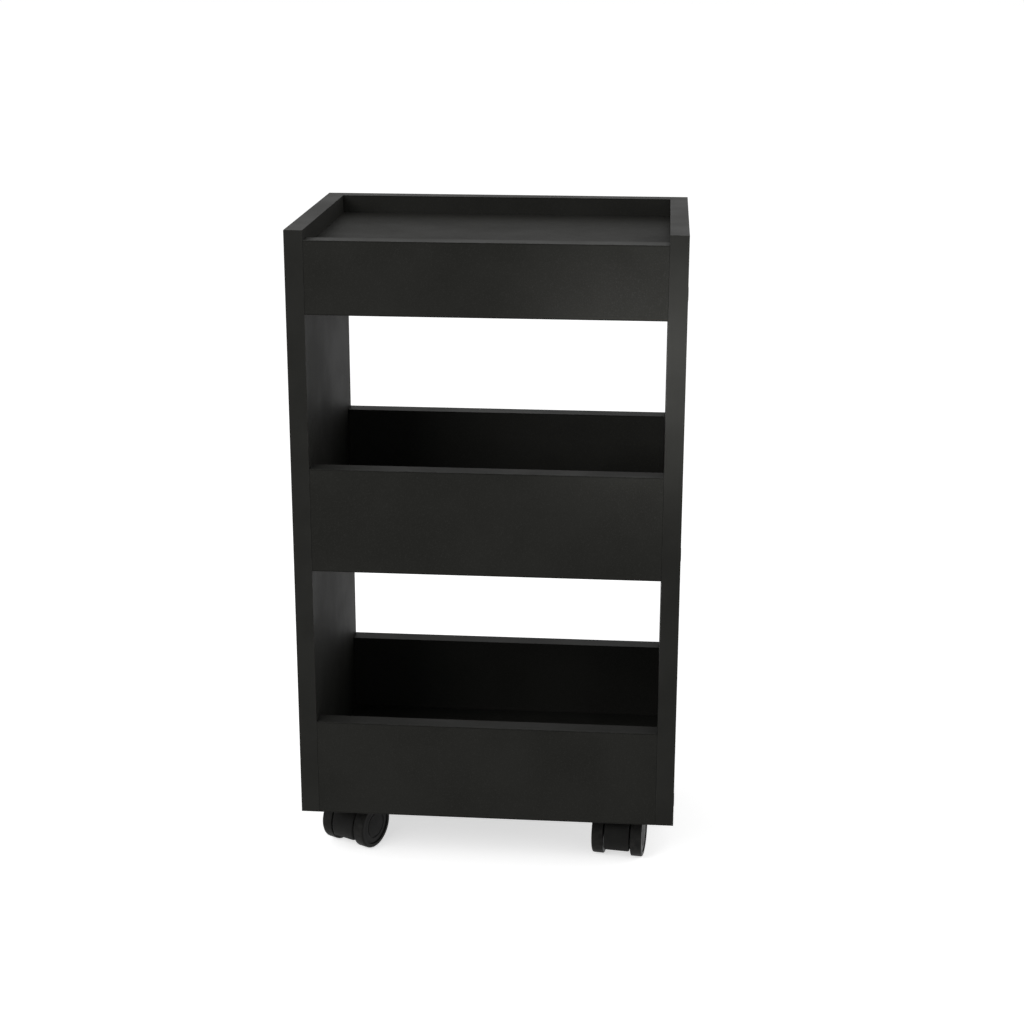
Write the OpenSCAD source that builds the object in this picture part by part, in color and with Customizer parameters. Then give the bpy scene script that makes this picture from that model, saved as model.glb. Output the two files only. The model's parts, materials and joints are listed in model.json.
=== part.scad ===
// Three-level rolling trolley cart: board carcass on four twin-wheel swivel casters.
// Origin: on the floor under the middle of the cart. +Z up, -Y towards the front, +X to the right.
// Millimetres throughout.

/* [Carcass] */
// Width over the outer faces of the side panels
cart_w = 380; // [320:1:600]
// Depth from the front edges to the back edges of the side panels
cart_d = 250; // [225:1:400]
// Height of the side panels
side_h = 600; // [540:1:760]
// Thickness of every board
board_t = 18; // [15:0.5:22]
// Thickness of the plastic edge band on the boards' open edges
band_t = 0.5; // [0.4:0.1:1.5]

/* [Levels] */
// How far the top shelf's surface lies below the side panels' top edges
top_tray_depth = 18; // [14:0.5:30]
// How far the top front rail's top edge lies below the side panels' top edges
front_lip_drop = 9.5; // [4:0.5:12]
// Height of the top front rail
top_rail_h = 71.5; // [60:0.5:100]
// How far the middle rails' top edges lie below the side panels' top edges
middle_rail_drop = 233.5; // [190:0.5:300]
// Height of the middle rails
middle_rail_h = 105; // [80:1:130]
// Height of the bottom rails
bottom_rail_h = 100; // [80:1:130]

/* [Joinery] */
// Overall length of a joint screw
screw_len = 50; // [40:1:60]
// Diameter of a joint screw's plain shank
screw_shank_d = 7; // [5:0.1:8]
// Diameter of a joint screw in the board's end
screw_core_d = 5; // [3.5:0.1:6]
// Diameter of a joint screw's countersunk head
screw_head_d = 10; // [8.5:0.1:12]
// Height of a joint screw's head cone
screw_head_h = 3; // [2:0.1:4]
// Width across flats of the socket in a joint screw's head
screw_socket_w = 4; // [3:0.5:5]
// Depth of that socket
screw_socket_h = 2.5; // [1.5:0.1:3.5]
// How far a joint screw's head sits below the panel's face
screw_sink = 0.5; // [0.2:0.1:1.5]
// Height of a joint screw's pointed tip
screw_tip_h = 3; // [1:0.5:5]
// Diameter of the stick-on cap over a joint screw
cap_d = 13; // [12.5:0.5:20]
// Thickness of that cap
cap_t = 0.3; // [0.2:0.1:1]
// Diameter of a wooden dowel
dowel_d = 8; // [6:0.5:10]
// Length of a wooden dowel
dowel_len = 30; // [25:1:35]
// How deep a dowel sits in a board's face
dowel_face_depth = 10; // [7:0.5:12]
// Distance from a rail's edge to the middle of its end screw or end dowel
rail_joint_inset = 25; // [18:0.5:26]
// Distance from the front or back face to the nearer screw in a shelf's end
shelf_screw_inset = 45; // [35:1:50]
// Distance from the outer side face to the nearer dowel in a shelf's long edge
shelf_dowel_inset = 80; // [65:1:120]
// Space left around a dowel or screw in its hole, on the radius
joint_gap = 0.1; // [0.05:0.05:0.3]
// Space left past the end of a dowel or screw in a blind hole
end_gap = 1; // [0.5:0.5:3]

/* [Casters] */
// Height of a caster from the floor to the top of its plate
caster_h = 62; // [58:1:75]
// Distance from the outer side face to a caster's swivel axis
caster_inset_x = 53; // [50:1:90]
// Distance from the front or back face to a caster's swivel axis
caster_inset_y = 74.5; // [50:0.5:76]
// Swivel angle of the front left caster, 0 where its wheels trail straight to the front
swivel_front_left = -27; // [-180:1:180]
// Swivel angle of the front right caster
swivel_front_right = -7; // [-180:1:180]
// Swivel angle of the rear left caster
swivel_rear_left = -18; // [-180:1:180]
// Swivel angle of the rear right caster
swivel_rear_right = -12; // [-180:1:180]
// Horizontal distance from the swivel axis to the axle
trail = 16; // [14:0.5:20]
// Wheel diameter
wheel_d = 50; // [40:1:52]
// Width of one wheel
wheel_w = 12; // [10:0.5:18]
// Thickness of the wheel's rim
rim_t = 4.5; // [3:0.5:6]
// Radius on the outer shoulder of the tread
shoulder_r = 2; // [0.5:0.25:3]
// Radius on the inner shoulder of the tread
inner_shoulder_r = 1; // [0.5:0.25:2]
// Diameter of the wheel's hub
hub_d = 13; // [11:0.5:16]
// Length of the wheel's hub, from the wheel's inner face
hub_len = 7; // [5:0.5:8]
// Thickness of the wheel's web
web_t = 2.5; // [1.5:0.5:4]
// How far the web sits in from the wheel's inner face
web_inset = 2; // [0:0.5:3]
// Width of the hood between the two wheels
hood_w = 26.5; // [20:0.5:32]
// Radius of the hood around the axle
hood_r = 25.2; // [22:0.1:28]
// Height of the hood's lower edge above the floor
hood_lift = 12.5; // [10:0.5:16]
// Wall thickness of the hood
hood_wall = 2.2; // [1.5:0.1:4]
// Radius on the hood's outer edges
hood_edge_r = 2; // [0.5:0.25:2.5]
// Space between the hood's side and a wheel
wheel_gap = 1; // [0.6:0.1:3]
// Diameter of the axle
axle_d = 6; // [5:0.5:8]
// Space between an axle's end and the hub cap
axle_cap_gap = 0.6; // [0.3:0.1:1]
// Outer diameter of the push nut on an axle's end
push_nut_d = 11; // [9:0.5:13]
// Thickness of that push nut
push_nut_t = 1; // [0.6:0.1:1.2]
// Diameter of the tube in the hood that holds the axle
axle_boss_d = 11; // [9:0.5:13]
// Thickness of the hub cap's disc at its rim
hub_cap_t = 1.2; // [0.8:0.1:2]
// Rise of the hub cap's dome
hub_cap_rise = 0.8; // [0.2:0.1:1.5]
// How far the hub cap's rim sits below the wheel's outer face
hub_cap_sink = 1; // [0.5:0.1:1.5]
// Thickness of the skirt that holds the hub cap in the rim
hub_cap_skirt_t = 1.2; // [0.8:0.1:2]
// Height of that skirt
hub_cap_skirt_h = 3; // [1:0.5:4]
// Diameter of the ring groove in the hub cap's face, at its middle
ring_groove_d = 27; // [18:0.5:28]
// Width of that ring groove
ring_groove_w = 1.2; // [0.8:0.1:2]
// Depth of that ring groove below the hub cap's rim
ring_groove_depth = 0.2; // [0:0.05:0.4]
// Diameter of the swivel stem
stem_d = 8; // [6:0.5:10]
// Diameter of the stem's collar under the plate
collar_d = 13; // [11:0.5:16]
// Thickness of that collar
collar_t = 1.5; // [1:0.1:3]
// Length of the stem's bearing in the hood
stem_bearing_len = 19; // [14:0.5:22]
// Wall of the tube in the hood around the stem
stem_boss_wall = 3.2; // [2:0.1:4]
// Outer diameter of the retaining clip on the stem
clip_d = 12; // [10:0.5:14]
// Thickness of that clip
clip_t = 1.2; // [0.8:0.1:2]
// Width of the clip's open side
clip_mouth_w = 4; // [2:0.5:5]
// Depth of the clip's groove in the stem
groove_depth = 1; // [0.5:0.1:1.5]
// Length of stem below the clip's groove
stem_tail = 1.5; // [1:0.1:3]
// Side of the square mounting plate
plate_w = 42; // [38:1:60]
// Thickness of the mounting plate
plate_t = 2.5; // [1.5:0.1:4]
// Radius on the mounting plate's corners
plate_corner_r = 4; // [2:0.5:8]
// Spacing of the mounting plate's holes along both sides
plate_hole_spacing = 32; // [30:1:46]
// Diameter of a plate screw
plate_screw_d = 4; // [3:0.5:5]
// Length of a plate screw below its head
plate_screw_len = 14; // [10:1:14]
// Diameter of a plate screw's head
plate_screw_head_d = 7.5; // [6:0.5:9]
// Height of a plate screw's head
plate_screw_head_h = 2; // [1.5:0.1:3]
// Space around a plate screw in the plate's hole, on the radius
plate_hole_gap = 0.3; // [0.1:0.05:0.6]

/* [Fits] */
// Running clearance of the axle and the stem in their bores, on the radius
running_gap = 0.05; // [0.02:0.01:0.1]
// Clearance of a pressed pin in its seat, on the radius
press_gap = 0.01; // [0:0.01:0.02]
// Space left along an axis between parts that turn against each other
end_play = 0.4; // [0.3:0.05:0.8]

/* [Hidden] */
$fn = 48;
DOME_STEPS = 8;

// Colours
melamine = [0.045, 0.045, 0.043];
band_black = [0.06, 0.06, 0.058];
plastic_black = [0.035, 0.035, 0.036];
zinc = [0.62, 0.63, 0.65];
beech = [0.76, 0.6, 0.4];

LEFT = -1;
RIGHT = 1;
FRONT = -1;
BACK = 1;
SIDES = [LEFT, RIGHT];
FACES = [FRONT, BACK];

// Heights of the carcass
base_z = caster_h;
top_z = base_z + side_h;
inner_w = cart_w - 2 * board_t;
shelf_d = cart_d - 2 * board_t;
rail_y = cart_d / 2 - board_t / 2;

// Each level: [underside of the shelf, bottom of the rails, top of the front rail, top of the back rail]
top_shelf_z = top_z - top_tray_depth - board_t;
top_rail_z = top_z - front_lip_drop - top_rail_h;
middle_rail_z = top_z - middle_rail_drop - middle_rail_h;
TOP = [top_shelf_z, top_rail_z, top_z - front_lip_drop, top_z];
MIDDLE = [middle_rail_z, middle_rail_z, middle_rail_z + middle_rail_h, middle_rail_z + middle_rail_h];
BOTTOM = [base_z, base_z, base_z + bottom_rail_h, base_z + bottom_rail_h];
LEVELS = [TOP, MIDDLE, BOTTOM];
function shelf_mid_z(level) = level[0] + board_t / 2;
function rail_top_z(level, face) = face == FRONT ? level[2] : level[3];

// Places [y, z] on a side panel, for its joint screws and for its rail dowels
shelf_screw_y = cart_d / 2 - shelf_screw_inset;
rail_screw_places = [for (level = LEVELS, face = FACES) [face * rail_y, level[1] + rail_joint_inset]];
shelf_screw_places = [for (level = LEVELS, face = FACES) [face * shelf_screw_y, shelf_mid_z(level)]];
screw_places = concat(rail_screw_places, shelf_screw_places);
rail_dowel_places =
    [for (level = LEVELS, face = FACES) [face * rail_y, rail_top_z(level, face) - rail_joint_inset]];
shelf_dowel_x = cart_w / 2 - shelf_dowel_inset;

// Heights and widths of a caster
axle_z = wheel_d / 2;
wheel_inner_x = hood_w / 2 + wheel_gap;
wheel_outer_x = wheel_inner_x + wheel_w;
plate_z = caster_h - plate_t;
collar_z = plate_z - collar_t;
boss_top_z = collar_z - end_play;
boss_low_z = boss_top_z - stem_bearing_len;
clip_top_z = boss_low_z - end_play;
stem_low_z = clip_top_z - clip_t - stem_tail;
groove_d = stem_d - 2 * groove_depth;
tower_r = hood_w / 2;
stem_boss_d = stem_d + 2 * (running_gap + stem_boss_wall);
hub_cap_r = wheel_d / 2 - rim_t - joint_gap;
axle_end_x = wheel_outer_x - hub_cap_sink - hub_cap_t - axle_cap_gap;
caster_x = cart_w / 2 - caster_inset_x;
caster_y = cart_d / 2 - caster_inset_y;
FRONT_LEFT = [-caster_x, -caster_y, swivel_front_left];
FRONT_RIGHT = [caster_x, -caster_y, swivel_front_right];
REAR_LEFT = [-caster_x, caster_y, swivel_rear_left];
REAR_RIGHT = [caster_x, caster_y, swivel_rear_right];
CASTERS = [FRONT_LEFT, FRONT_RIGHT, REAR_LEFT, REAR_RIGHT];

// ---------- Shared shapes ----------

// Box from its lowest corner to its highest
module box(low, high) {
    translate(low) cube(high - low);
}

// Cylinder along X from x1 to x2
module rod_x(x1, x2, d) {
    translate([x1, 0, 0]) rotate([0, 90, 0]) cylinder(h = x2 - x1, d = d);
}

// Cylinder along Y from y1 to y2
module rod_y(y1, y2, d) {
    translate([0, y1, 0]) rotate([-90, 0, 0]) cylinder(h = y2 - y1, d = d);
}

// Turns a shape drawn for the right-hand side into the one for this side
module on_side(side) {
    mirror([side == LEFT ? 1 : 0, 0, 0]) children();
}

// Turns a shape drawn for the back into the one for this face
module on_face(face) {
    mirror([0, face == FRONT ? 1 : 0, 0]) children();
}

// ---------- Joinery ----------

// Joint screw for the right-hand side: its axis on X, with the panel's outer face at cart_w / 2
module joint_screw() {
    head_x = cart_w / 2 - screw_sink;
    shoulder_x = cart_w / 2 - board_t;
    tip_x = cart_w / 2 - screw_len;
    difference() {
        union() {
            translate([head_x - screw_head_h, 0, 0]) rotate([0, 90, 0])
                cylinder(h = screw_head_h, d1 = screw_shank_d, d2 = screw_head_d);
            rod_x(shoulder_x, head_x - screw_head_h, screw_shank_d);
            rod_x(tip_x + screw_tip_h, shoulder_x, screw_core_d);
            translate([tip_x + screw_tip_h, 0, 0]) rotate([0, -90, 0])
                cylinder(h = screw_tip_h, d1 = screw_core_d, d2 = screw_core_d / 3);
        }
        translate([head_x - screw_socket_h, 0, 0]) rotate([0, 90, 0])
            cylinder(h = screw_socket_h + 1, d = screw_socket_w / cos(30), $fn = 6);
    }
}

// What the right-hand panel loses to one joint screw
module panel_screw_hole() {
    face_x = cart_w / 2;
    rod_x(face_x - board_t - 1, face_x - screw_sink, screw_shank_d + 2 * joint_gap);
    translate([face_x - screw_sink - screw_head_h, 0, 0]) rotate([0, 90, 0])
        cylinder(h = screw_head_h, d1 = screw_shank_d + 2 * joint_gap, d2 = screw_head_d + 2 * joint_gap);
    rod_x(face_x - screw_sink, face_x + 1, screw_head_d + 2 * joint_gap);
}

// What a board's right-hand end loses to one joint screw
module end_screw_hole() {
    rod_x(cart_w / 2 - screw_len - end_gap, cart_w / 2, screw_core_d + 2 * joint_gap);
}

// Dowel across the joint between the right-hand panel and a rail's end
module rail_dowel() {
    inner_x = inner_w / 2;
    rod_x(inner_x + dowel_face_depth - dowel_len, inner_x + dowel_face_depth, dowel_d);
}

// What the boards lose to that dowel
module rail_dowel_hole() {
    inner_x = inner_w / 2;
    rod_x(inner_x + dowel_face_depth - dowel_len - end_gap, inner_x + dowel_face_depth + end_gap / 2,
        dowel_d + 2 * joint_gap);
}

// Dowel across the joint between a shelf's long edge and the back rail
module shelf_dowel() {
    rod_y(shelf_d / 2 + dowel_face_depth - dowel_len, shelf_d / 2 + dowel_face_depth, dowel_d);
}

// What the boards lose to that dowel
module shelf_dowel_hole() {
    rod_y(shelf_d / 2 + dowel_face_depth - dowel_len - end_gap, shelf_d / 2 + dowel_face_depth + end_gap / 2,
        dowel_d + 2 * joint_gap);
}

// ---------- Boards ----------

// One side panel, without its edge bands
module side_panel(side) {
    on_side(side) difference() {
        box([inner_w / 2, -cart_d / 2 + band_t, base_z + band_t],
            [cart_w / 2, cart_d / 2 - band_t, top_z - band_t]);
        for (place = screw_places) translate([0, place.x, place.y]) panel_screw_hole();
        for (place = rail_dowel_places) translate([0, place.x, place.y]) rail_dowel_hole();
    }
}

// One shelf, which fills the space between the side panels and the rails
module shelf(level) {
    mid_z = shelf_mid_z(level);
    difference() {
        box([-inner_w / 2, -shelf_d / 2, level[0]], [inner_w / 2, shelf_d / 2, level[0] + board_t]);
        for (side = SIDES, face = FACES) {
            on_side(side) translate([0, face * shelf_screw_y, mid_z]) end_screw_hole();
            on_face(face) translate([side * shelf_dowel_x, 0, mid_z]) shelf_dowel_hole();
        }
        if (level == BOTTOM)
            for (place = CASTERS) plate_screw_holes(place);
    }
}

// One rail, without its edge bands
module rail(level, face) {
    high_z = rail_top_z(level, face);
    difference() {
        box([-inner_w / 2, face * rail_y - board_t / 2, level[1] + band_t],
            [inner_w / 2, face * rail_y + board_t / 2, high_z - band_t]);
        for (side = SIDES) {
            on_side(side) translate([0, face * rail_y, level[1] + rail_joint_inset]) end_screw_hole();
            on_side(side) translate([0, face * rail_y, high_z - rail_joint_inset]) rail_dowel_hole();
            on_face(face) translate([side * shelf_dowel_x, 0, shelf_mid_z(level)]) shelf_dowel_hole();
        }
    }
}

// The four strips of edge band round one side panel
module panel_bands(side) {
    on_side(side) {
        for (face = FACES)
            box([inner_w / 2, face * (cart_d - band_t) / 2 - band_t / 2, base_z],
                [cart_w / 2, face * (cart_d - band_t) / 2 + band_t / 2, top_z]);
        for (low_z = [base_z, top_z - band_t])
            box([inner_w / 2, -cart_d / 2 + band_t, low_z],
                [cart_w / 2, cart_d / 2 - band_t, low_z + band_t]);
    }
}

// The strips of edge band under and over the three rails of one face
module rail_bands(face) {
    for (level = LEVELS)
        for (low_z = [level[1], rail_top_z(level, face) - band_t])
            box([-inner_w / 2, face * rail_y - board_t / 2, low_z],
                [inner_w / 2, face * rail_y + board_t / 2, low_z + band_t]);
}

module joint_screws(side) {
    for (place = screw_places) on_side(side) translate([0, place.x, place.y]) joint_screw();
}

module screw_caps(side) {
    for (place = screw_places)
        on_side(side) translate([0, place.x, place.y]) rod_x(cart_w / 2, cart_w / 2 + cap_t, cap_d);
}

module all_rail_dowels() {
    for (side = SIDES, place = rail_dowel_places)
        on_side(side) translate([0, place.x, place.y]) rail_dowel();
}

module all_shelf_dowels() {
    for (level = LEVELS, side = SIDES, face = FACES)
        on_face(face) translate([side * shelf_dowel_x, 0, shelf_mid_z(level)]) shelf_dowel();
}

// ---------- Casters ----------

// Puts a fixed piece of a caster on its swivel axis
module at_swivel(place) {
    translate([place[0], place[1], 0]) children();
}

// Puts a swivelling piece on its swivel axis, turned
module at_hood(place) {
    at_swivel(place) rotate([0, 0, place[2]]) children();
}

// Puts a piece on the axle: its X axis is the axle's, and its origin the axle's middle
module at_axle(place) {
    at_hood(place) translate([0, -trail, axle_z]) children();
}

// Puts a wheel's piece, drawn about Z from the wheel's inner face out, on its end of the axle
module at_wheel(place, side) {
    at_axle(place) on_side(side) translate([wheel_inner_x, 0, 0]) rotate([0, 90, 0]) children();
}

// The four corners of a plate's hole pattern
module at_plate_holes() {
    for (sx = SIDES, sy = FACES)
        translate([sx * plate_hole_spacing / 2, sy * plate_hole_spacing / 2, 0]) children();
}

module plate(place) {
    flat_w = plate_w - 2 * plate_corner_r;
    at_swivel(place) translate([0, 0, plate_z]) difference() {
        union() {
            translate([-plate_w / 2, -flat_w / 2, 0]) cube([plate_w, flat_w, plate_t]);
            translate([-flat_w / 2, -plate_w / 2, 0]) cube([flat_w, plate_w, plate_t]);
            for (sx = SIDES, sy = FACES)
                translate([sx * flat_w / 2, sy * flat_w / 2, 0]) cylinder(h = plate_t, r = plate_corner_r);
        }
        translate([0, 0, -1]) cylinder(h = plate_t + 2, d = stem_d + 2 * press_gap);
        at_plate_holes()
            translate([0, 0, -1]) cylinder(h = plate_t + 2, d = plate_screw_d + 2 * plate_hole_gap);
    }
}

// Pilot holes for one plate's screws in the bottom shelf
module plate_screw_holes(place) {
    at_swivel(place) at_plate_holes() translate([0, 0, plate_z])
        cylinder(h = plate_screw_len + end_gap, d = plate_screw_d + 2 * joint_gap);
}

module plate_screws(place) {
    at_swivel(place) at_plate_holes() translate([0, 0, plate_z]) {
        cylinder(h = plate_screw_len, d = plate_screw_d);
        difference() {
            translate([0, 0, -plate_screw_head_h]) cylinder(h = plate_screw_head_h, d = plate_screw_head_d);
            for (turn = [0, 90]) rotate([0, 0, turn])
                translate([-plate_screw_head_d / 4, -plate_screw_d / 8, -plate_screw_head_h - 1])
                    cube([plate_screw_head_d / 2, plate_screw_d / 4, plate_screw_head_h / 2 + 1]);
        }
    }
}

// Swivel stem: riveted into the plate, with a collar above the hood and a groove for the clip
module stem(place) {
    at_swivel(place) {
        translate([0, 0, clip_top_z]) cylinder(h = caster_h - clip_top_z, d = stem_d);
        translate([0, 0, collar_z]) cylinder(h = collar_t, d = collar_d);
        translate([0, 0, clip_top_z - clip_t]) cylinder(h = clip_t, d = groove_d);
        translate([0, 0, stem_low_z]) cylinder(h = stem_tail, d = stem_d);
    }
}

// Retaining clip: a ring with an open side, which grips the fixed stem's groove
module stem_clip(place) {
    at_swivel(place) translate([0, 0, clip_top_z - clip_t]) difference() {
        cylinder(h = clip_t, d = clip_d);
        translate([0, 0, -1]) cylinder(h = clip_t + 2, d = groove_d + 2 * press_gap);
        translate([0, -clip_mouth_w / 2, -1]) cube([clip_d, clip_mouth_w, clip_t + 2]);
    }
}

// Rounded drum about Z, of radius r and height h, with edges rounded by edge_r
module rounded_drum(r, h, edge_r) {
    rotate_extrude() {
        square([r - edge_r, h]);
        translate([0, edge_r]) square([r, h - 2 * edge_r]);
        for (y = [edge_r, h - edge_r])
            translate([r - edge_r, y]) circle(r = edge_r);
    }
}

// Outer form of the hood, drawn in the axle's frame, or that form shrunk by inset for its cavity
module hood_form(inset) {
    w = hood_w - 2 * inset;
    r = hood_r - inset;
    edge = max(hood_edge_r - inset, 0.5);
    tower_low = hood_lift - axle_z;
    tower_top = boss_top_z - axle_z - inset;
    translate([-w / 2, 0, 0]) rotate([0, 90, 0]) rounded_drum(r, w, edge);
    translate([0, trail, tower_low]) rounded_drum(tower_r - inset, tower_top - tower_low, edge);
}

module hood(place) {
    at_axle(place) difference() {
        union() {
            difference() {
                hood_form(0);
                hood_form(hood_wall);
            }
            // Tube for the stem, and the solid roof round it
            translate([0, trail, boss_low_z - axle_z]) cylinder(h = stem_bearing_len, d = stem_boss_d);
            // Tube for the axle, just proud of the hood's sides
            rod_x(-hood_w / 2 - wheel_gap + end_play, hood_w / 2 + wheel_gap - end_play, axle_boss_d);
        }
        translate([0, trail, boss_low_z - axle_z - 1])
            cylinder(h = stem_bearing_len + 2, d = stem_d + 2 * running_gap);
        rod_x(-hood_w, hood_w, axle_d + 2 * press_gap);
        // The open underside
        translate([-hood_w, -2 * hood_r, hood_lift - axle_z - 2 * hood_r])
            cube([2 * hood_w, 4 * hood_r, 2 * hood_r]);
    }
}

module axle(place) {
    at_axle(place) rod_x(-axle_end_x, axle_end_x, axle_d);
}

// Push nuts that keep both wheels on the axle
module push_nuts(place) {
    nut_x = wheel_inner_x + hub_len + end_play;
    at_axle(place) for (side = SIDES) on_side(side) difference() {
        rod_x(nut_x, nut_x + push_nut_t, push_nut_d);
        rod_x(nut_x - 1, nut_x + push_nut_t + 1, axle_d + 2 * press_gap);
    }
}

// Section of a wheel in [radius, distance from the inner face]
module wheel_section() {
    r = wheel_d / 2;
    bore_r = axle_d / 2 + running_gap;
    translate([bore_r, 0]) square([hub_d / 2 - bore_r, hub_len]);
    translate([bore_r, web_inset]) square([r - rim_t / 2 - bore_r, web_t]);
    translate([r - rim_t, 0]) square([rim_t - max(shoulder_r, inner_shoulder_r), wheel_w]);
    translate([r - rim_t, inner_shoulder_r])
        square([rim_t, wheel_w - inner_shoulder_r - shoulder_r]);
    translate([r - inner_shoulder_r, inner_shoulder_r]) circle(r = inner_shoulder_r);
    translate([r - shoulder_r, wheel_w - shoulder_r]) circle(r = shoulder_r);
    translate([r - shoulder_r, 0]) square([shoulder_r - inner_shoulder_r, inner_shoulder_r]);
}

module wheel(place, side) {
    at_wheel(place, side) rotate_extrude() wheel_section();
}

// Section of a hub cap in [radius, distance from the wheel's inner face]: a disc with a shallow
// dome and a ring groove, and a skirt that grips inside the rim
module hub_cap_section() {
    rim_z = wheel_w - hub_cap_sink;
    low_z = rim_z - hub_cap_t;
    dome_r = (pow(hub_cap_r, 2) + pow(hub_cap_rise, 2)) / (2 * hub_cap_rise);
    dome_angle = asin(hub_cap_r / dome_r);
    dome = [for (i = [0:DOME_STEPS])
        let (angle = dome_angle * (1 - i / DOME_STEPS))
        [dome_r * sin(angle), rim_z + hub_cap_rise - dome_r * (1 - cos(angle))]];
    skirt_r = hub_cap_r - hub_cap_skirt_t;
    skirt_low_z = low_z - hub_cap_skirt_h;
    skirt = [[0, low_z], [skirt_r, low_z], [skirt_r, skirt_low_z], [hub_cap_r, skirt_low_z]];
    difference() {
        polygon(concat(skirt, dome));
        translate([(ring_groove_d - ring_groove_w) / 2, rim_z - ring_groove_depth])
            square([ring_groove_w, ring_groove_depth + 2 * hub_cap_rise]);
    }
}

module hub_cap(place, side) {
    at_wheel(place, side) rotate_extrude() hub_cap_section();
}

// ---------- Nodes ----------

module left_side_panel() { color(melamine) side_panel(LEFT); }
module right_side_panel() { color(melamine) side_panel(RIGHT); }
module top_shelf() { color(melamine) shelf(TOP); }
module middle_shelf() { color(melamine) shelf(MIDDLE); }
module bottom_shelf() { color(melamine) shelf(BOTTOM); }
module top_front_rail() { color(melamine) rail(TOP, FRONT); }
module middle_front_rail() { color(melamine) rail(MIDDLE, FRONT); }
module bottom_front_rail() { color(melamine) rail(BOTTOM, FRONT); }
module top_back_rail() { color(melamine) rail(TOP, BACK); }
module middle_back_rail() { color(melamine) rail(MIDDLE, BACK); }
module bottom_back_rail() { color(melamine) rail(BOTTOM, BACK); }
module left_panel_edge_bands() { color(band_black) panel_bands(LEFT); }
module right_panel_edge_bands() { color(band_black) panel_bands(RIGHT); }
module front_rail_edge_bands() { color(band_black) rail_bands(FRONT); }
module back_rail_edge_bands() { color(band_black) rail_bands(BACK); }
module left_joint_screws() { color(zinc) joint_screws(LEFT); }
module right_joint_screws() { color(zinc) joint_screws(RIGHT); }
module left_screw_caps() { color(band_black) screw_caps(LEFT); }
module right_screw_caps() { color(band_black) screw_caps(RIGHT); }
module rail_dowels() { color(beech) all_rail_dowels(); }
module shelf_dowels() { color(beech) all_shelf_dowels(); }
module caster_plate_screws() { color(zinc) for (place = CASTERS) plate_screws(place); }
module stem_clips() { color(zinc) for (place = CASTERS) stem_clip(place); }

// The pieces of one caster, by the last words of their names
module caster_piece(place, piece) {
    outer = place[0] > 0 ? RIGHT : LEFT;
    if (piece == "plate") color(plastic_black) plate(place);
    if (piece == "stem") color(zinc) stem(place);
    if (piece == "hood") color(plastic_black) hood(place);
    if (piece == "axle") color(zinc) axle(place);
    if (piece == "push_nuts") color(zinc) push_nuts(place);
    if (piece == "inner_wheel") color(plastic_black) wheel(place, -outer);
    if (piece == "outer_wheel") color(plastic_black) wheel(place, outer);
    if (piece == "inner_hub_cap") color(plastic_black) hub_cap(place, -outer);
    if (piece == "outer_hub_cap") color(plastic_black) hub_cap(place, outer);
}

left_side_panel();
right_side_panel();
top_shelf();
middle_shelf();
bottom_shelf();
top_front_rail();
middle_front_rail();
bottom_front_rail();
top_back_rail();
middle_back_rail();
bottom_back_rail();
left_panel_edge_bands();
right_panel_edge_bands();
front_rail_edge_bands();
back_rail_edge_bands();
left_joint_screws();
right_joint_screws();
left_screw_caps();
right_screw_caps();
rail_dowels();
shelf_dowels();
caster_plate_screws();
stem_clips();
CASTER_NAMES = ["front_left", "front_right", "rear_left", "rear_right"];
CASTER_PIECES = ["plate", "stem", "hood", "axle", "push_nuts",
    "inner_wheel", "outer_wheel", "inner_hub_cap", "outer_hub_cap"];
for (i = [0:3], piece = CASTER_PIECES)
    caster_piece(CASTERS[i], piece);
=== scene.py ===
"""Looks of the spa trolley cart: finishes for the boards, bands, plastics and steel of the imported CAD
frame, softened edges, a pale studio floor, soft light and the camera. Metres throughout."""

import json
import math

import bpy
from mathutils import Euler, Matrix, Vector

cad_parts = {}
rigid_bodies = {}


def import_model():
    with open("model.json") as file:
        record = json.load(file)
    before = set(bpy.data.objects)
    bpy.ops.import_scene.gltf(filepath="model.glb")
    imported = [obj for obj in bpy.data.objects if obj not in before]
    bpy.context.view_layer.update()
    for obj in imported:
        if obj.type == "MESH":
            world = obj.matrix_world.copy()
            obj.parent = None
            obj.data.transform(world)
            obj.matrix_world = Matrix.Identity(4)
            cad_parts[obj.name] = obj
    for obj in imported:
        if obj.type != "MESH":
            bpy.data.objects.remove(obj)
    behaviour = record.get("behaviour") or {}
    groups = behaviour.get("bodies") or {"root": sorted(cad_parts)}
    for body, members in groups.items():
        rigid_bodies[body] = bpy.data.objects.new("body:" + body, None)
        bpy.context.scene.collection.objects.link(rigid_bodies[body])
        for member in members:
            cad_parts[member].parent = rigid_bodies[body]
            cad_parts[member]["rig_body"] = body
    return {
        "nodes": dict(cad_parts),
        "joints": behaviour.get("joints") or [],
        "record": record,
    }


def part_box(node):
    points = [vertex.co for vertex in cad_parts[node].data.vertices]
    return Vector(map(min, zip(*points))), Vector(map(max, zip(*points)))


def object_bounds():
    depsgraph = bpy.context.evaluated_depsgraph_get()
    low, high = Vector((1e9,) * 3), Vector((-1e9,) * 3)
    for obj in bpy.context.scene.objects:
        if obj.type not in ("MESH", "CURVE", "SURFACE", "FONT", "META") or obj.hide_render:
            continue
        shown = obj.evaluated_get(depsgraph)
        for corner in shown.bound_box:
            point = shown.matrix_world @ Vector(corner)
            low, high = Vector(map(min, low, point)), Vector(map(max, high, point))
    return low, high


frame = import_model()
CAD_LOW, CAD_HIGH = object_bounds()

MM = 0.001

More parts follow.
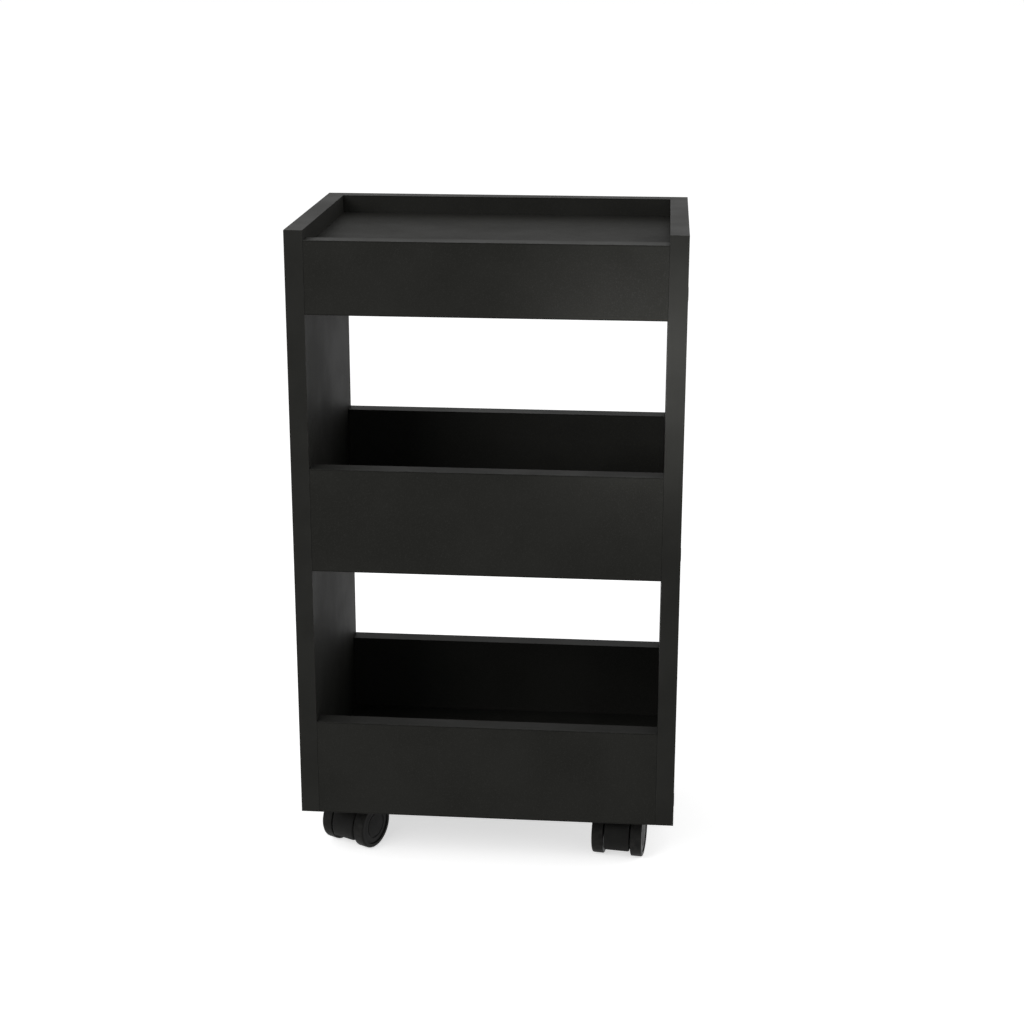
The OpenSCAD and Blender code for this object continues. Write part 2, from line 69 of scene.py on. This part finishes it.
# Linear colours
MELAMINE_DARK = (0.0136, 0.0136, 0.0121, 1)
MELAMINE_LIGHT = (0.0172, 0.0172, 0.0155, 1)
MELAMINE_PEARL = (0.0265, 0.0265, 0.0246, 1)
# Painted shade: the near-black colour laid along edges and in joints, where the seams' shade falls
SEAM_SHADE = (0.0035, 0.0035, 0.0033, 1)
BAND_DARK = (0.0144, 0.0144, 0.0130, 1)
BAND_LIGHT = (0.0180, 0.0180, 0.0164, 1)
# Lighter colour laid along edges: partly wear, partly a painted highlight
BAND_WEAR_AND_HIGHLIGHT = (0.050, 0.049, 0.046, 1)
NYLON_DARK = (0.0085, 0.0085, 0.0080, 1)
NYLON_LIGHT = (0.0122, 0.0122, 0.0115, 1)
WHEEL_DARK = (0.0078, 0.0078, 0.0073, 1)
WHEEL_LIGHT = (0.0110, 0.0110, 0.0104, 1)
TREAD_DUST = (0.060, 0.058, 0.054, 1)
# Lighter colour laid along edges: partly wear, partly a painted highlight
PLASTIC_WEAR_AND_HIGHLIGHT = (0.040, 0.040, 0.039, 1)
CAP_DARK = (0.0150, 0.0150, 0.0138, 1)
CAP_LIGHT = (0.0195, 0.0195, 0.0182, 1)
ZINC_DARK = (0.42, 0.43, 0.45, 1)
ZINC_LIGHT = (0.66, 0.67, 0.69, 1)
POWDER_DARK = (0.010, 0.010, 0.010, 1)
POWDER_LIGHT = (0.014, 0.014, 0.014, 1)
BEECH_DARK = (0.40, 0.24, 0.12, 1)
BEECH_LIGHT = (0.62, 0.43, 0.25, 1)

# The part of a noise's values that a finish uses
NOISE_SPAN = (0.3, 0.7)
# Rays per shading point for the nodes that look for edges and joints
RAY_SAMPLES = 6
# Cosine of the normal's bend where an edge's mark starts to show, and where it shows in full: wear with a
# painted highlight, or painted seam shade
EDGE_STARTS, EDGE_FULL = 0.995, 0.86
# Radius of the ring groove in a hub cap, as a share of the cap's radius
GROOVE_SHARE = 0.66

# Light that falls on the object: the world's strength, then each softbox's place, side and power
WHITE = (1, 1, 1, 1)
WORLD_LEVEL = 0.54
KEY_PLACE, KEY_SIDE, KEY_POWER = (-1.2, -1.7, 1.6), 1.2, 26.0
FILL_PLACE, FILL_SIDE, FILL_POWER = (1.7, -0.3, 1.1), 1.4, 9.0

# The small lamp: its pool's height and distance from the right side, and its own place seen from the pool
POOL_HEIGHT = 0.54
POOL_INSET = 0.005
SHEEN_OFFSET = Vector((-0.04, -0.28, -0.03))
SHEEN_SIDE, SHEEN_POWER, SHEEN_SPREAD = 0.08, 0.18, 70

FLOOR_SIDE = 40
FLOOR_COLOUR = (0.80, 0.80, 0.80, 1)
FLOOR_ROUGHNESS = 0.9
FLOOR_GLOW = 0.62

# The camera: its place, its turn to the left, its tilt down, and its lens on a 36 mm sensor
CAMERA_PLACE = (0.165, -1.85, 0.943)
CAMERA_YAW = 5.0
CAMERA_PITCH = 16.3
CAMERA_LENS = 65.9
SENSOR = 36.0
CAMERA_SHIFT_X = 0.012
CAMERA_SHIFT_Y = -0.045


# ---------- Shader building ----------

class Graph:
    """One material's node tree, with short calls for the nodes that the finishes use."""

    def __init__(self, name):
        self.material = bpy.data.materials.new(name)
        self.material.use_nodes = True
        self.tree = self.material.node_tree
        self.shader = self.tree.nodes["Principled BSDF"]
        self.coords = self.add("ShaderNodeTexCoord").outputs["Object"]

    def add(self, kind, **settings):
        """A new node with these attributes."""
        node = self.tree.nodes.new(kind)
        for key, value in settings.items():
            setattr(node, key, value)
        return node

    def put(self, socket, value):
        """Links value to the socket if it is an output, or else sets it there."""
        if isinstance(value, bpy.types.NodeSocket):
            self.tree.links.new(value, socket)
        else:
            socket.default_value = value

    def math(self, operation, a, b=0.0):
        """A sum, product or other operation on two numbers."""
        node = self.add("ShaderNodeMath", operation=operation)
        self.put(node.inputs[0], a)
        self.put(node.inputs[1], b)
        return node.outputs[0]

    def vector_math(self, operation, a, b, output="Vector"):
        """The same for two vectors. A dot product comes from the output "Value"."""
        node = self.add("ShaderNodeVectorMath", operation=operation)
        self.put(node.inputs[0], a)
        self.put(node.inputs[1], b)
        return node.outputs[output]

    def stretched(self, scale):
        """The object's coordinates, scaled along each axis."""
        node = self.add("ShaderNodeMapping")
        self.put(node.inputs["Vector"], self.coords)
        node.inputs["Scale"].default_value = scale
        return node.outputs["Vector"]

    def noise(self, size, detail=2.0, roughness=0.5, vector=None):
        """Noise from 0 to 1 whose features are about size metres across."""
        node = self.add("ShaderNodeTexNoise")
        self.put(node.inputs["Vector"], vector or self.coords)
        node.inputs["Scale"].default_value = 1 / size
        node.inputs["Detail"].default_value = detail
        node.inputs["Roughness"].default_value = roughness
        return node.outputs["Fac"]

    def pits(self, size, vector=None):
        """Distance to the nearest of a field of points that lie about size metres apart."""
        node = self.add("ShaderNodeTexVoronoi", feature="F1")
        self.put(node.inputs["Vector"], vector or self.coords)
        node.inputs["Scale"].default_value = 1 / size
        return node.outputs["Distance"]

    def range(self, value, low, high, to_low=0.0, to_high=1.0):
        """Takes low to to_low and high to to_high, smoothly and with no overshoot."""
        node = self.add("ShaderNodeMapRange", interpolation_type="SMOOTHSTEP")
        self.put(node.inputs["Value"], value)
        node.inputs["From Min"].default_value = low
        node.inputs["From Max"].default_value = high
        node.inputs["To Min"].default_value = to_low
        node.inputs["To Max"].default_value = to_high
        return node.outputs["Result"]

    def sway(self, noise, low=0.0, high=1.0):
        """A noise spread from low to high. Most of its values lie near one half, so its tails are cut."""
        return self.range(noise, *NOISE_SPAN, low, high)

    def mix(self, factor, a, b):
        """Colour a where factor is 0, and b where it is 1."""
        node = self.add("ShaderNodeMix", data_type="RGBA")
        self.put(node.inputs["Factor"], factor)
        colours = [socket for socket in node.inputs if socket.type == "RGBA"]
        self.put(colours[0], a)
        self.put(colours[1], b)
        return next(socket for socket in node.outputs if socket.type == "RGBA")

    def edges(self, radius):
        """1 along the edges of a piece, falling to 0 within radius metres of them."""
        rounded = self.add("ShaderNodeBevel", samples=RAY_SAMPLES)
        rounded.inputs["Radius"].default_value = radius
        facing = self.add("ShaderNodeNewGeometry").outputs["Normal"]
        alike = self.vector_math("DOT_PRODUCT", rounded.outputs["Normal"], facing, "Value")
        return self.range(alike, EDGE_STARTS, EDGE_FULL)

    def openness(self, distance):
        """1 where nothing stands within distance metres of the surface, and less in joints and corners."""
        node = self.add("ShaderNodeAmbientOcclusion", samples=RAY_SAMPLES)
        node.inputs["Distance"].default_value = distance
        return node.outputs["AO"]

    def bump(self, height, depth, strength=1.0, under=None):
        """A bump of depth metres for a height from 0 to 1, on top of the bump under."""
        node = self.add("ShaderNodeBump")
        node.inputs["Strength"].default_value = strength
        node.inputs["Distance"].default_value = depth
        self.put(node.inputs["Height"], height)
        if under is not None:
            self.put(node.inputs["Normal"], under)
        return node.outputs["Normal"]

    def finish(self, colour, roughness, normal=None, **constants):
        """Links the shader's inputs, sets the constant ones by name, and returns the material."""
        self.put(self.shader.inputs["Base Color"], colour)
        self.put(self.shader.inputs["Roughness"], roughness)
        if normal is not None:
            self.put(self.shader.inputs["Normal"], normal)
        for name, value in constants.items():
            self.shader.inputs[name.replace("_", " ")].default_value = value
        return self.material


# ---------- Finishes ----------

def black_melamine():
    """Textured melamine skin: even black with a fine pearl grain, faint mottling, and painted shade as
    dark lines along its edges.
    """
    g = Graph("black_melamine")
    mottle = g.noise(80 * MM, detail=4)
    pearl = g.noise(1.1 * MM, detail=3, roughness=0.6)
    pores = g.pits(1.9 * MM)
    smudge = g.noise(95 * MM, detail=5, roughness=0.6)
    # Painted shade: every edge of the board is darkened to a near-black line, standing for the shade in
    # the seams where the pieces meet.
    joint = g.math("MULTIPLY", g.edges(1.5 * MM), g.range(g.noise(20 * MM, detail=3), 0.2, 0.6, 0.6, 0.95))
    colour = g.mix(g.sway(mottle), MELAMINE_DARK, MELAMINE_LIGHT)
    colour = g.mix(g.range(pearl, 0.50, 0.74, 0.0, 0.6), colour, MELAMINE_PEARL)
    colour = g.mix(joint, colour, SEAM_SHADE)
    roughness = g.sway(smudge, 0.54, 0.62)
    normal = g.bump(pores, 0.06 * MM, 0.6)
    normal = g.bump(pearl, 0.10 * MM, 0.6, under=normal)
    return g.finish(colour, roughness, normal, Specular_IOR_Level=0.04)


def edge_band():
    """Plastic edge band: smoother than the boards, with faint draw lines, edges lightened by wear and a
    painted highlight, and painted shade in its joints.
    """
    g = Graph("edge_band")
    mottle = g.noise(45 * MM, detail=3)
    lines = g.noise(1.6 * MM, detail=2, vector=g.stretched((0.5, 0.5, 0.05)))
    pearl = g.noise(0.8 * MM, detail=2)
    # The edges are lightened, partly as wear and partly as a painted highlight, and less so in joints.
    wear_and_highlight = g.math("MULTIPLY", g.edges(0.9 * MM), g.range(g.noise(11 * MM, detail=3), 0.34, 0.64))
    openness = g.openness(1.2 * MM)
    wear_and_highlight = g.math("MULTIPLY", wear_and_highlight, g.range(openness, 0.7, 0.98))
    colour = g.mix(g.sway(mottle), BAND_DARK, BAND_LIGHT)
    colour = g.mix(g.math("MULTIPLY", wear_and_highlight, 0.6), colour, BAND_WEAR_AND_HIGHLIGHT)
    # Painted shade: darker where the ambient occlusion finds joints and corners close by.
    colour = g.mix(g.range(openness, 0.85, 0.55), colour, SEAM_SHADE)
    roughness = g.sway(g.noise(70 * MM, detail=4), 0.48, 0.56)
    normal = g.bump(lines, 0.03 * MM, 0.4)
    normal = g.bump(pearl, 0.03 * MM, 0.5, under=normal)
    return g.finish(colour, roughness, normal, Specular_IOR_Level=0.05)


def screw_cap():
    """Stick-on cap in the boards' colour: printed vinyl, a little glossier, with a rim lightened by wear
    and a painted highlight.
    """
    g = Graph("screw_cap")
    colour = g.mix(g.sway(g.noise(9 * MM, detail=3)), CAP_DARK, CAP_LIGHT)
    # A lighter rim: partly wear, partly a painted highlight.
    colour = g.mix(g.math("MULTIPLY", g.edges(0.5 * MM), 0.3), colour, BAND_WEAR_AND_HIGHLIGHT)
    roughness = g.sway(g.noise(6 * MM), 0.42, 0.52)
    normal = g.bump(g.noise(0.8 * MM), 0.03 * MM, 0.5)
    return g.finish(colour, roughness, normal, Specular_IOR_Level=0.08)


def zinc_steel():
    """Bright zinc plate: bluish, slightly blotched, with fine scratches."""
    g = Graph("zinc_steel")
    blotch = g.noise(5 * MM, detail=4)
    scratch = g.noise(0.5 * MM, detail=2, vector=g.stretched((1, 1, 0.15)))
    colour = g.mix(g.sway(blotch), ZINC_DARK, ZINC_LIGHT)
    roughness = g.sway(scratch, 0.24, 0.40)
    return g.finish(colour, roughness, g.bump(scratch, 0.02 * MM, 0.4), Metallic=1.0)


def black_steel():
    """Black powder coat: orange peel over pressed steel, with edges lightened by wear and a painted
    highlight.
    """
    g = Graph("black_steel")
    colour = g.mix(g.sway(g.noise(18 * MM, detail=3)), POWDER_DARK, POWDER_LIGHT)
    # Lighter edges: partly wear, partly a painted highlight.
    colour = g.mix(g.math("MULTIPLY", g.edges(0.6 * MM), 0.4), colour, PLASTIC_WEAR_AND_HIGHLIGHT)
    peel = g.noise(1.4 * MM, detail=2)
    roughness = g.sway(g.noise(12 * MM, detail=3), 0.34, 0.44)
    return g.finish(colour, roughness, g.bump(peel, 0.06 * MM, 0.5), Specular_IOR_Level=0.4)


def beech_dowel():
    """Bare beech: pale grain along the dowel with short dark flecks."""
    g = Graph("beech_dowel")
    grain = g.noise(2 * MM, detail=4, vector=g.stretched((0.12, 1, 1)))
    fleck = g.range(g.pits(1.2 * MM, g.stretched((0.3, 1, 1))), 0.32, 0.12)
    colour = g.mix(g.sway(grain), BEECH_LIGHT, BEECH_DARK)
    colour = g.mix(g.math("MULTIPLY", fleck, 0.35), colour, BEECH_DARK)
    return g.finish(colour, g.sway(grain, 0.62, 0.75), g.bump(grain, 0.05 * MM, 0.5))


def black_nylon():
    """Moulded nylon of the hoods: fine spark-eroded grain, with edges lightened by scuffs and a painted
    highlight.
    """
    g = Graph("black_nylon")
    grain = g.pits(0.7 * MM)
    dust = g.range(g.noise(20 * MM, detail=4), 0.5, 0.8)
    colour = g.mix(g.sway(g.noise(15 * MM, detail=3)), NYLON_DARK, NYLON_LIGHT)
    colour = g.mix(g.math("MULTIPLY", dust, 0.10), colour, TREAD_DUST)
    # Lighter edges: partly scuffs, partly a painted highlight.
    wear_and_highlight = g.math("MULTIPLY", g.edges(0.7 * MM), g.range(g.noise(6 * MM, detail=2), 0.35, 0.7))
    colour = g.mix(g.math("MULTIPLY", wear_and_highlight, 0.5), colour, PLASTIC_WEAR_AND_HIGHLIGHT)
    roughness = g.sway(g.noise(10 * MM, detail=3), 0.42, 0.52)
    return g.finish(colour, roughness, g.bump(grain, 0.05 * MM, 0.45), Specular_IOR_Level=0.07)


def about_axle(g, centre, axis):
    """Distance of each point from the axle's line, in metres."""
    offset = g.vector_math("SUBTRACT", g.coords, centre)
    along = g.vector_math("DOT_PRODUCT", offset, axis, "Value")
    scaled = g.add("ShaderNodeVectorMath", operation="SCALE")
    scaled.inputs[0].default_value = axis
    g.put(scaled.inputs["Scale"], along)
    outward = g.vector_math("SUBTRACT", offset, scaled.outputs["Vector"])
    length = g.add("ShaderNodeVectorMath", operation="LENGTH")
    g.put(length.inputs[0], outward)
    return length.outputs["Value"]


def turned_rings(g, radius, pitch):
    """Fine rings round the axle, pitch metres apart, from 0 to 1."""
    turns = g.math("MULTIPLY", radius, 2 * math.pi / pitch)
    return g.range(g.math("SINE", turns), -1.0, 1.0)


def wheel_plastic(name, centre, axis, tread_r):
    """Moulded wheel: satin sides with faint rings, edges lightened by scuffs and a painted highlight, and
    a tread dulled by dust.
    """
    g = Graph(name)
    radius = about_axle(g, centre, axis)
    tread = g.range(radius, tread_r - 0.9 * MM, tread_r - 0.1 * MM)
    dusty = g.math("MULTIPLY", tread, g.range(g.noise(7 * MM, detail=5, roughness=0.65), 0.35, 0.7))
    colour = g.mix(g.sway(g.noise(12 * MM, detail=3)), WHEEL_DARK, WHEEL_LIGHT)
    colour = g.mix(g.math("MULTIPLY", dusty, 0.18), colour, TREAD_DUST)
    # Lighter rims: partly scuffs, partly a painted highlight.
    wear_and_highlight = g.math("MULTIPLY", g.edges(0.8 * MM), g.range(g.noise(6 * MM, detail=2), 0.3, 0.6))
    colour = g.mix(g.math("MULTIPLY", wear_and_highlight, 0.6), colour, PLASTIC_WEAR_AND_HIGHLIGHT)
    satin = g.sway(g.noise(9 * MM, detail=3), 0.34, 0.42)
    roughness = g.math("ADD", satin, g.math("MULTIPLY", tread, 0.16))
    scuffs = g.noise(0.6 * MM, detail=3)
    normal = g.bump(turned_rings(g, radius, 1.1 * MM), 0.012 * MM, 0.35)
    normal = g.bump(scuffs, 0.04 * MM, 0.3, under=normal)
    return g.finish(colour, roughness, normal, Specular_IOR_Level=0.07)


def hub_cap_plastic(name, centre, axis, cap_r):
    """Hub cap: satin plastic with turned rings, edges lightened by wear and a painted highlight, a duller
    middle inside its groove and fine scratches.
    """
    g = Graph(name)
    radius = about_axle(g, centre, axis)
    groove_r = GROOVE_SHARE * cap_r
    middle = g.range(radius, groove_r + 0.3 * MM, groove_r - 0.3 * MM)
    colour = g.mix(g.sway(g.noise(10 * MM, detail=3)), NYLON_DARK, NYLON_LIGHT)
    # Lighter edges: partly wear, partly a painted highlight.
    colour = g.mix(g.math("MULTIPLY", g.edges(0.6 * MM), 0.5), colour, PLASTIC_WEAR_AND_HIGHLIGHT)
    satin = g.sway(g.noise(8 * MM, detail=4), 0.34, 0.42)
    roughness = g.math("ADD", satin, g.math("MULTIPLY", middle, 0.10))
    normal = g.bump(turned_rings(g, radius, 0.9 * MM), 0.010 * MM, 0.4)
    normal = g.bump(g.noise(0.5 * MM, detail=3), 0.02 * MM, 0.3, under=normal)
    return g.finish(colour, roughness, normal, Specular_IOR_Level=0.07)


# ---------- The frame's nodes ----------

SHARED_FINISHES = {
    "black_melamine": black_melamine,
    "edge_band": edge_band,
    "screw_cap": screw_cap,
    "zinc_steel": zinc_steel,
    "black_steel": black_steel,
    "beech_dowel": beech_dowel,
    "black_nylon": black_nylon,
}
TURNED_FINISHES = {"wheel_plastic": wheel_plastic, "hub_cap_plastic": hub_cap_plastic}

# Softened edges: the least angle, the distance within which points are joined, and each slot's radius
SHARP_ANGLE = math.radians(35)
WELD_DISTANCE = 0.002 * MM
BEVEL_SEGMENTS = 2
EDGE_RADII = {
    "black_melamine": 0.30 * MM,
    "edge_band": 0.18 * MM,
    "screw_cap": 0.12 * MM,
    "black_steel": 0.40 * MM,
    "hub_cap_plastic": 0.20 * MM,
}


def paint(node, material):
    """Makes this the object's only material."""
    node.data.materials.clear()
    node.data.materials.append(material)


def soften_edges(node, radius):
    """Rounds the piece's sharp edges over radius. Its own vertices stay as they are."""
    weld = node.modifiers.new("weld", "WELD")
    weld.merge_threshold = WELD_DISTANCE
    bevel = node.modifiers.new("bevel", "BEVEL")
    bevel.width = radius
    bevel.segments = BEVEL_SEGMENTS
    bevel.limit_method = "ANGLE"
    bevel.angle_limit = SHARP_ANGLE
    bevel.harden_normals = False


def axle_of(body):
    """A point on the axle that a roller turns on, and the axle's direction."""
    joint = next(j for j in frame["joints"] if j["child"] == body)
    return joint["pos_m"], joint["axis"]


def finish_nodes():
    """Gives every CAD node its slot's finish, and softens the edges of the slots in EDGE_RADII."""
    shared = {slot: make() for slot, make in SHARED_FINISHES.items()}
    slots = {part["node"]: part["material_slot"] for part in frame["record"]["subparts"]}
    for name, node in frame["nodes"].items():
        slot = slots[name]
        if slot in shared:
            paint(node, shared[slot])
        else:
            centre, axis = axle_of(node["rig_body"])
            low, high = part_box(name)
            radius = (high.z - low.z) / 2
            paint(node, TURNED_FINISHES[slot](slot + "_" + name, centre, axis, radius))
        if slot in EDGE_RADII:
            soften_edges(node, EDGE_RADII[slot])


# ---------- Studio ----------

def seen_directly(nodes, links):
    """1 for the rays of the camera, of mirrors and of glass, and 0 for the rest."""
    path = nodes.new("ShaderNodeLightPath")
    total = path.outputs["Is Camera Ray"]
    for name in ("Is Glossy Ray", "Is Transmission Ray"):
        join = nodes.new("ShaderNodeMath")
        join.operation = "MAXIMUM"
        links.new(total, join.inputs[0])
        links.new(path.outputs[name], join.inputs[1])
        total = join.outputs[0]
    return total


def make_world():
    """White where it is seen, and dimmer as the light that falls on the object."""
    world = bpy.data.worlds.new("studio")
    bpy.context.scene.world = world
    world.use_nodes = True
    nodes, links = world.node_tree.nodes, world.node_tree.links
    background = nodes["Background"]
    background.inputs["Color"].default_value = WHITE
    level = nodes.new("ShaderNodeMapRange")
    level.inputs["To Min"].default_value = WORLD_LEVEL
    level.inputs["To Max"].default_value = 1
    links.new(seen_directly(nodes, links), level.inputs["Value"])
    links.new(level.outputs["Result"], background.inputs["Strength"])


def make_floor():
    """A pale floor that reads white and keeps the cart's soft shadow."""
    bpy.ops.mesh.primitive_plane_add(size=FLOOR_SIDE, location=(0, 0, CAD_LOW.z))
    floor = bpy.context.object
    floor.name = "studio_floor"
    material = bpy.data.materials.new("pale_floor")
    material.use_nodes = True
    nodes, links = material.node_tree.nodes, material.node_tree.links
    shader = nodes["Principled BSDF"]
    shader.inputs["Base Color"].default_value = FLOOR_COLOUR
    shader.inputs["Roughness"].default_value = FLOOR_ROUGHNESS
    shader.inputs["Specular IOR Level"].default_value = 0
    shader.inputs["Emission Color"].default_value = WHITE
    glow = nodes.new("ShaderNodeMath")
    glow.operation = "MULTIPLY"
    glow.inputs[1].default_value = FLOOR_GLOW
    links.new(seen_directly(nodes, links), glow.inputs[0])
    links.new(glow.outputs[0], shader.inputs["Emission Strength"])
    paint(floor, material)


def make_softbox(name, place, target, side, power, spread=180):
    """A square lamp at place that faces target. Its grid holds the light within spread degrees."""
    light = bpy.data.lights.new(name, "AREA")
    light.size = side
    light.energy = power
    light.spread = math.radians(spread)
    lamp = bpy.data.objects.new(name, light)
    lamp.location = place
    lamp.rotation_euler = (Vector(target) - Vector(place)).to_track_quat("-Z", "Y").to_euler()
    lamp.visible_camera = False
    bpy.context.scene.collection.objects.link(lamp)


def make_lights():
    """Two large softboxes, and a small one whose pool of light lies on the right panel's front edge.
    It stands a little to the left of that edge, so that the panel's outer face gets none of it."""
    middle = (CAD_LOW + CAD_HIGH) / 2
    make_softbox("key", KEY_PLACE, middle, KEY_SIDE, KEY_POWER)
    make_softbox("fill", FILL_PLACE, middle, FILL_SIDE, FILL_POWER)
    pool = Vector((CAD_HIGH.x - POOL_INSET, CAD_LOW.y, POOL_HEIGHT))
    make_softbox("sheen", pool + SHEEN_OFFSET, pool, SHEEN_SIDE, SHEEN_POWER, SHEEN_SPREAD)


def make_camera():
    """The photo's viewing angle. The shift is kept small, because the other views keep it too."""
    camera_data = bpy.data.cameras.new("camera")
    camera_data.sensor_width = SENSOR
    camera_data.lens = CAMERA_LENS
    camera_data.shift_x = CAMERA_SHIFT_X
    camera_data.shift_y = CAMERA_SHIFT_Y
    camera = bpy.data.objects.new("camera", camera_data)
    camera.location = CAMERA_PLACE
    camera.rotation_euler = Euler((math.radians(90 - CAMERA_PITCH), 0, math.radians(CAMERA_YAW)))
    bpy.context.scene.collection.objects.link(camera)
    bpy.context.scene.camera = camera


bpy.context.scene.view_settings.view_transform = "Standard"
make_camera()
finish_nodes()
make_world()
make_floor()
make_lights()
